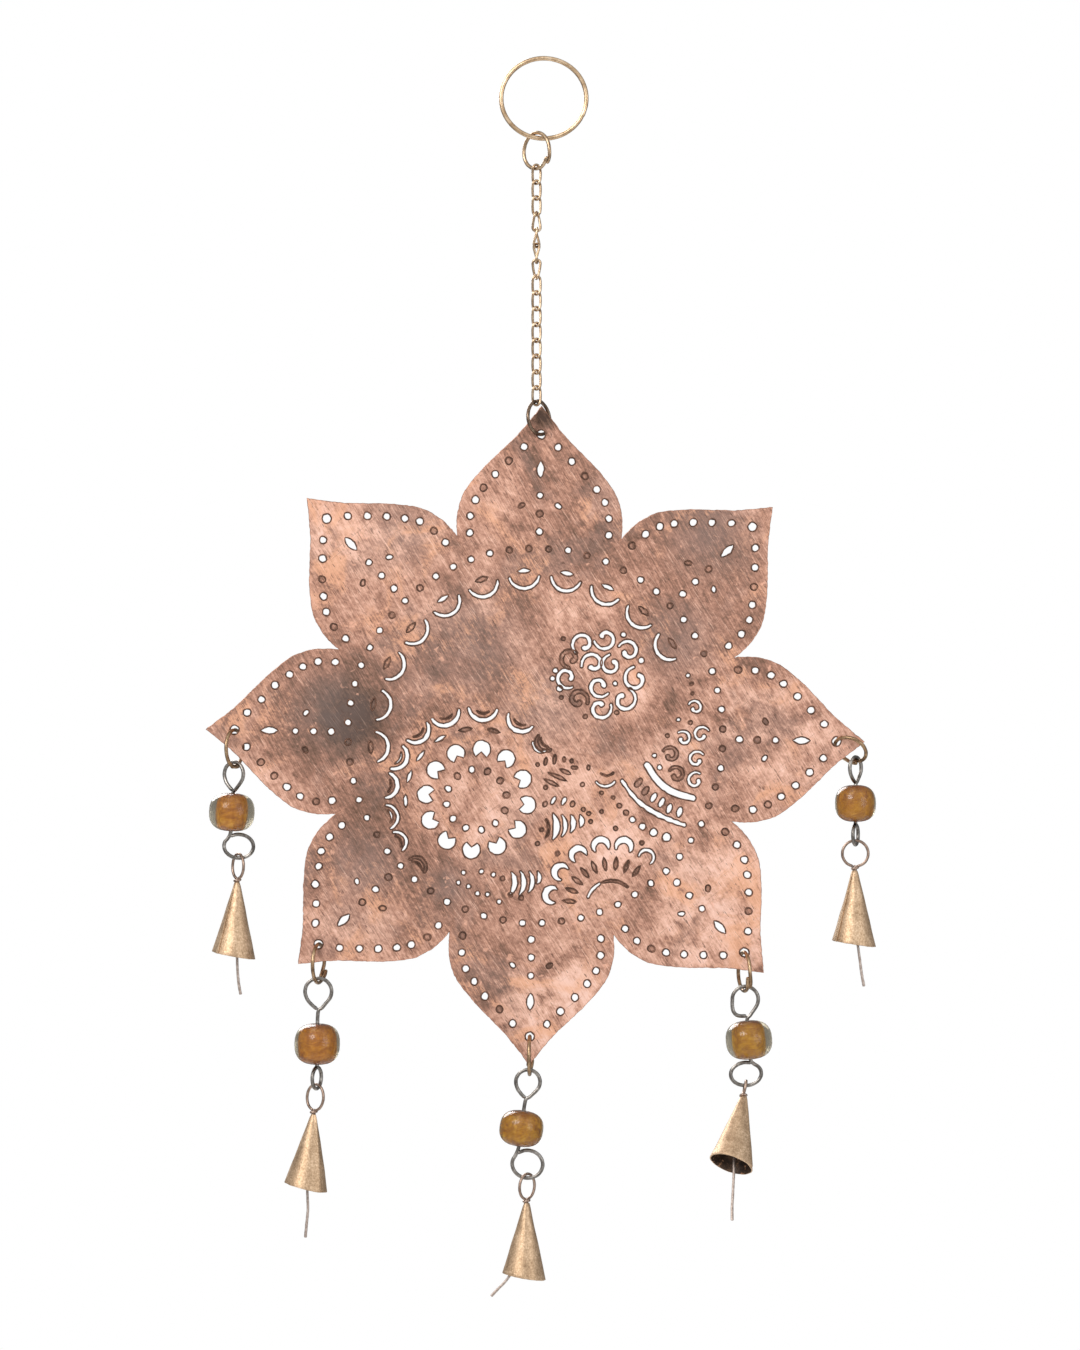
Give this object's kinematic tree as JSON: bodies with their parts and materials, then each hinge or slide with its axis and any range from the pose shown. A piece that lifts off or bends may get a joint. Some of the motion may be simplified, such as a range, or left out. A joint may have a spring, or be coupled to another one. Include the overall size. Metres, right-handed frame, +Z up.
{
  "type": "hanging wind chime",
  "caption": "Pierced copper flower on a ring and twisted chain, which turns in the wind, with glass bead and cone bell pendants under its lower petals.",
  "frame": {"origin": "the point inside the top of the hanging ring that rests on a hook, nail or pin", "axes": "+Z up, +X to the right seen from the front, and the front of the flower faces -Y"},
  "size_m": [0.2322, 0.0343, 0.4299],
  "materials": {
    "polished_brass": "polished pale brass wire",
    "antique_brass": "antique brass plated wire, worn on the high spots",
    "patinated_copper": "copper sheet, brushed in diagonal strokes, with brown patina",
    "dark_steel": "darkened steel wire",
    "amber_glass": "clear greyish glass over an amber core",
    "brushed_brass": "rolled brass sheet, dull and brushed",
    "clapper_steel": "rough flattened wire with a pinkish tarnish"
  },
  "bodies": {
    "hanging_ring": {"hanging_ring": "polished_brass"},
    "chain_top_ring": {"chain_top_ring": "antique_brass"},
    "chain_link_01": {"chain_link_01": "antique_brass"},
    "chain_link_02": {"chain_link_02": "antique_brass"},
    "chain_link_03": {"chain_link_03": "antique_brass"},
    "chain_link_04": {"chain_link_04": "antique_brass"},
    "chain_link_05": {"chain_link_05": "antique_brass"},
    "chain_link_06": {"chain_link_06": "antique_brass"},
    "chain_link_07": {"chain_link_07": "antique_brass"},
    "chain_link_08": {"chain_link_08": "antique_brass"},
    "chain_link_09": {"chain_link_09": "antique_brass"},
    "chain_link_10": {"chain_link_10": "antique_brass"},
    "chain_link_11": {"chain_link_11": "antique_brass"},
    "chain_link_12": {"chain_link_12": "antique_brass"},
    "chain_link_13": {"chain_link_13": "antique_brass"},
    "chain_link_14": {"chain_link_14": "antique_brass"},
    "chain_link_15": {"chain_link_15": "antique_brass"},
    "plate_ring": {"plate_ring": "antique_brass"},
    "flower_plate": {"flower_plate": "patinated_copper"},
    "west_hang_ring": {"west_hang_ring": "antique_brass"},
    "west_eye_pin": {"west_eye_pin": "dark_steel"},
    "west_bead": {"west_bead": "amber_glass"},
    "west_bell": {"west_bell_loop": "antique_brass", "west_bell": "brushed_brass"},
    "west_clapper": {"west_clapper": "clapper_steel"},
    "southwest_hang_ring": {"southwest_hang_ring": "antique_brass"},
    "southwest_eye_pin": {"southwest_eye_pin": "dark_steel"},
    "southwest_bead": {"southwest_bead": "amber_glass"},
    "southwest_bell": {"southwest_bell_loop": "antique_brass", "southwest_bell": "brushed_brass"},
    "southwest_clapper": {"southwest_clapper": "clapper_steel"},
    "south_hang_ring": {"south_hang_ring": "antique_brass"},
    "south_eye_pin": {"south_eye_pin": "dark_steel"},
    "south_bead": {"south_bead": "amber_glass"},
    "south_bell": {"south_bell_loop": "antique_brass", "south_bell": "brushed_brass"},
    "south_clapper": {"south_clapper": "clapper_steel"},
    "southeast_hang_ring": {"southeast_hang_ring": "antique_brass"},
    "southeast_eye_pin": {"southeast_eye_pin": "dark_steel"},
    "southeast_bead": {"southeast_bead": "amber_glass"},
    "southeast_bell": {"southeast_bell_loop": "antique_brass", "southeast_bell": "brushed_brass"},
    "southeast_clapper": {"southeast_clapper": "clapper_steel"},
    "east_hang_ring": {"east_hang_ring": "antique_brass"},
    "east_eye_pin": {"east_eye_pin": "dark_steel"},
    "east_bead": {"east_bead": "amber_glass"},
    "east_bell": {"east_bell_loop": "antique_brass", "east_bell": "brushed_brass"},
    "east_clapper": {"east_clapper": "clapper_steel"}
  },
  "joints": [
    {"name": "chain_top_ring_swing", "type": "hinge", "parent": "hanging_ring", "child": "chain_top_ring", "pos_m": [-0.001, 0, -0.0268], "axis": [1, 0, 0], "range_deg": [-45, 45]},
    {"name": "chain_link_01_roll", "type": "hinge", "parent": "chain_top_ring", "child": "chain_link_01", "pos_m": [-0.001, 0, -0.03745], "axis": [0.7071, -0.7071, 0], "range_deg": [-20, 20]},
    {"name": "chain_link_02_twist", "type": "hinge", "parent": "chain_link_01", "child": "chain_link_02", "pos_m": [-0.001, 0, -0.04156], "axis": [0, 0, 1], "range_deg": [-18, 18]},
    {"name": "chain_link_03_rock", "type": "hinge", "parent": "chain_link_02", "child": "chain_link_03", "pos_m": [-0.001, 0, -0.04704], "axis": [-0.766, -0.6428, 0], "range_deg": [-20, 20]},
    {"name": "chain_link_04_twist", "type": "hinge", "parent": "chain_link_03", "child": "chain_link_04", "pos_m": [-0.001, 0, -0.05252], "axis": [0, 0, 1], "range_deg": [-18, 18]},
    {"name": "chain_link_05_roll", "type": "hinge", "parent": "chain_link_04", "child": "chain_link_05", "pos_m": [-0.001, 0, -0.05914], "axis": [0.9976, -0.0698, 0], "range_deg": [-20, 20]},
    {"name": "chain_link_06_twist", "type": "hinge", "parent": "chain_link_05", "child": "chain_link_06", "pos_m": [-0.001, 0, -0.06348], "axis": [0, 0, 1], "range_deg": [-18, 18]},
    {"name": "chain_link_07_rock", "type": "hinge", "parent": "chain_link_06", "child": "chain_link_07", "pos_m": [-0.001, 0, -0.06896], "axis": [0.9976, 0.0698, 0], "range_deg": [-20, 20]},
    {"name": "chain_link_08_twist", "type": "hinge", "parent": "chain_link_07", "child": "chain_link_08", "pos_m": [-0.001, 0, -0.07444], "axis": [0, 0, 1], "range_deg": [-18, 18]},
    {"name": "chain_link_09_roll", "type": "hinge", "parent": "chain_link_08", "child": "chain_link_09", "pos_m": [-0.001, 0, -0.08106], "axis": [-0.766, 0.6428, 0], "range_deg": [-20, 20]},
    {"name": "chain_link_10_twist", "type": "hinge", "parent": "chain_link_09", "child": "chain_link_10", "pos_m": [-0.001, 0, -0.0854], "axis": [0, 0, 1], "range_deg": [-18, 18]},
    {"name": "chain_link_11_rock", "type": "hinge", "parent": "chain_link_10", "child": "chain_link_11", "pos_m": [-0.001, 0, -0.09088], "axis": [0.766, 0.6428, 0], "range_deg": [-20, 20]},
    {"name": "chain_link_12_twist", "type": "hinge", "parent": "chain_link_11", "child": "chain_link_12", "pos_m": [-0.001, 0, -0.09636], "axis": [0, 0, 1], "range_deg": [-18, 18]},
    {"name": "chain_link_13_roll", "type": "hinge", "parent": "chain_link_12", "child": "chain_link_13", "pos_m": [-0.001, 0, -0.10298], "axis": [-0.766, 0.6428, 0], "range_deg": [-20, 20]},
    {"name": "chain_link_14_twist", "type": "hinge", "parent": "chain_link_13", "child": "chain_link_14", "pos_m": [-0.001, 0, -0.10732], "axis": [0, 0, 1], "range_deg": [-18, 18]},
    {"name": "chain_link_15_rock", "type": "hinge", "parent": "chain_link_14", "child": "chain_link_15", "pos_m": [-0.001, 0, -0.1128], "axis": [0.766, 0.6428, 0], "range_deg": [-20, 20]},
    {"name": "plate_ring_roll", "type": "hinge", "parent": "chain_link_15", "child": "plate_ring", "pos_m": [-0.001, 0, -0.11942], "axis": [-0.766, 0.6428, 0], "range_deg": [-20, 20]},
    {"name": "flower_plate_rock", "type": "hinge", "parent": "plate_ring", "child": "flower_plate", "pos_m": [0.00061, 0, -0.12959], "axis": [0.6428, 0.766, 0], "range_deg": [-15, 15]},
    {"name": "west_hang_ring_swing", "type": "hinge", "parent": "flower_plate", "child": "west_hang_ring", "pos_m": [-0.10567, 0, -0.23186], "axis": [0, -1, 0], "range_deg": [-25, 3]},
    {"name": "west_eye_pin_swing", "type": "hinge", "parent": "west_hang_ring", "child": "west_eye_pin", "pos_m": [-0.10567, 0, -0.24306], "axis": [0.818, -0.5736, -0.0429], "range_deg": [-25, 25]},
    {"name": "west_bead_spin", "type": "hinge", "parent": "west_eye_pin", "child": "west_bead", "pos_m": [-0.10658, 0, -0.26044], "axis": [0.0523, 0, 0.9986], "continuous": true},
    {"name": "west_bell_swing", "type": "hinge", "parent": "west_eye_pin", "child": "west_bell", "pos_m": [-0.10419, 0, -0.27488], "axis": [0.5292, -0.848, -0.0277], "range_deg": [-25, 25]},
    {"name": "west_clapper_swing", "type": "hinge", "parent": "west_bell", "child": "west_clapper", "pos_m": [-0.10567, 0, -0.30314], "axis": [0, -1, 0], "range_deg": [-47, 29]},
    {"name": "southwest_hang_ring_swing", "type": "hinge", "parent": "flower_plate", "child": "southwest_hang_ring", "pos_m": [-0.07654, 0, -0.30619], "axis": [0, -1, 0], "range_deg": [-25, 25]},
    {"name": "southwest_eye_pin_swing", "type": "hinge", "parent": "southwest_hang_ring", "child": "southwest_eye_pin", "pos_m": [-0.07654, 0, -0.31799], "axis": [0.9998, 0, -0.0175], "range_deg": [-25, 25]},
    {"name": "southwest_bead_spin", "type": "hinge", "parent": "southwest_eye_pin", "child": "southwest_bead", "pos_m": [-0.07694, 0, -0.34078], "axis": [0.0175, 0, 0.9998], "continuous": true},
    {"name": "southwest_bell_swing", "type": "hinge", "parent": "southwest_eye_pin", "child": "southwest_bell", "pos_m": [-0.0772, 0.00002, -0.35478], "axis": [0.7154, -0.6947, -0.0752], "range_deg": [-25, 25]},
    {"name": "southwest_clapper_swing", "type": "hinge", "parent": "southwest_bell", "child": "southwest_clapper", "pos_m": [-0.08022, 0.00002, -0.38352], "axis": [0, -1, 0], "range_deg": [-42, 34]},
    {"name": "south_hang_ring_swing", "type": "hinge", "parent": "flower_plate", "child": "south_hang_ring", "pos_m": [-0.00339, 0, -0.33815], "axis": [0, -1, 0], "range_deg": [-25, 25]},
    {"name": "south_eye_pin_swing", "type": "hinge", "parent": "south_hang_ring", "child": "south_eye_pin", "pos_m": [-0.00339, 0, -0.34975], "axis": [0.9903, 0, -0.1392], "range_deg": [-25, 25]},
    {"name": "south_bead_spin", "type": "hinge", "parent": "south_eye_pin", "child": "south_bead", "pos_m": [-0.00624, 0, -0.37005], "axis": [0.1392, 0, 0.9903], "continuous": true},
    {"name": "south_bell_swing", "type": "hinge", "parent": "south_eye_pin", "child": "south_bell", "pos_m": [-0.00414, 0, -0.38576], "axis": [0.6424, 0.766, -0.0224], "range_deg": [-25, 25]},
    {"name": "south_clapper_swing", "type": "hinge", "parent": "south_bell", "child": "south_clapper", "pos_m": [-0.00514, 0, -0.41434], "axis": [0, -1, 0], "range_deg": [0, 76]},
    {"name": "southeast_hang_ring_swing", "type": "hinge", "parent": "flower_plate", "child": "southeast_hang_ring", "pos_m": [0.07093, 0, -0.30902], "axis": [0, -1, 0], "range_deg": [-25, 25]},
    {"name": "southeast_eye_pin_swing", "type": "hinge", "parent": "southeast_hang_ring", "child": "southeast_eye_pin", "pos_m": [0.07093, 0, -0.32082], "axis": [0.9962, 0, 0.0872], "range_deg": [-25, 25]},
    {"name": "southeast_bead_spin", "type": "hinge", "parent": "southeast_eye_pin", "child": "southeast_bead", "pos_m": [0.07255, 0, -0.33935], "axis": [-0.0872, 0, 0.9962], "continuous": true},
    {"name": "southeast_bell_swing", "type": "hinge", "parent": "southeast_eye_pin", "child": "southeast_bell", "pos_m": [0.07158, 0, -0.35368], "axis": [-0.0944, 0.891, -0.4441], "range_deg": [-25, 25]},
    {"name": "southeast_clapper_swing", "type": "hinge", "parent": "southeast_bell", "child": "southeast_clapper", "pos_m": [0.06708, -0.01103, -0.37486], "axis": [0.0944, -0.891, 0.4441], "range_deg": [-46, 30]},
    {"name": "east_hang_ring_swing", "type": "hinge", "parent": "flower_plate", "child": "east_hang_ring", "pos_m": [0.10289, 0, -0.23587], "axis": [0, -1, 0], "range_deg": [-10, 20]},
    {"name": "east_eye_pin_swing", "type": "hinge", "parent": "east_hang_ring", "child": "east_eye_pin", "pos_m": [0.10977, 0.00325, -0.24138], "axis": [0.5736, 0.8192, 0], "range_deg": [-25, 25]},
    {"name": "east_bead_spin", "type": "hinge", "parent": "east_eye_pin", "child": "east_bead", "pos_m": [0.10977, 0.00325, -0.25748], "axis": [0, 0, 1], "continuous": true},
    {"name": "east_bell_swing", "type": "hinge", "parent": "east_eye_pin", "child": "east_bell", "pos_m": [0.10977, 0.00325, -0.27038], "axis": [0.9998, 0, -0.0175], "range_deg": [-25, 25]},
    {"name": "east_clapper_swing", "type": "hinge", "parent": "east_bell", "child": "east_clapper", "pos_m": [0.10926, 0.00325, -0.29928], "axis": [0, -1, 0], "range_deg": [-48, 28]}
  ]
}
